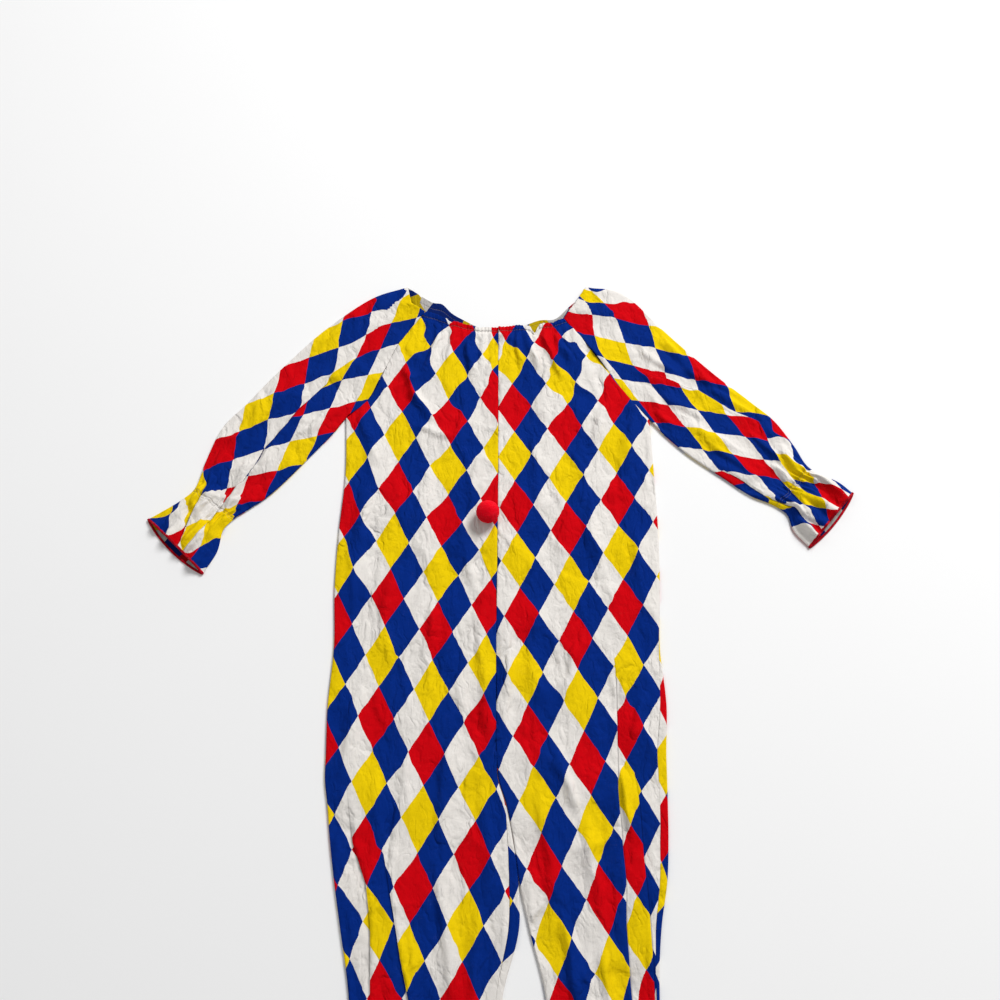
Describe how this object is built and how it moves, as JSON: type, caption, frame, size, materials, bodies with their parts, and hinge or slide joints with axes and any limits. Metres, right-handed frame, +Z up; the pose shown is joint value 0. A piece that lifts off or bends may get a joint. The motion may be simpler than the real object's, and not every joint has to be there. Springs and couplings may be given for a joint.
{
  "type": "clown jumpsuit",
  "caption": "Clown jumpsuit laid out flat: harlequin diamond print, elastic neck, raglan sleeves with ruffled cuffs, long legs and a red pompom at the chest.",
  "frame": {"origin": "middle of the garment's box, on the surface it lies on", "axes": "+Y towards the neck, +Z up out of the front, +X towards the wearer's left"},
  "size_m": [1.178, 1.516, 0.0432],
  "materials": {
    "printed_cotton": "lightweight crumpled cotton, matt, printed with royal blue, off-white, red and yellow diamonds",
    "red_yarn": "matt red yarn and overlock thread"
  },
  "bodies": {
    "root": {"front_right": "printed_cotton", "front_left": "printed_cotton", "back_right": "printed_cotton", "back_left": "printed_cotton", "sleeve_right": "printed_cotton", "sleeve_left": "printed_cotton", "pompom": "red_yarn"}
  },
  "joints": []
}
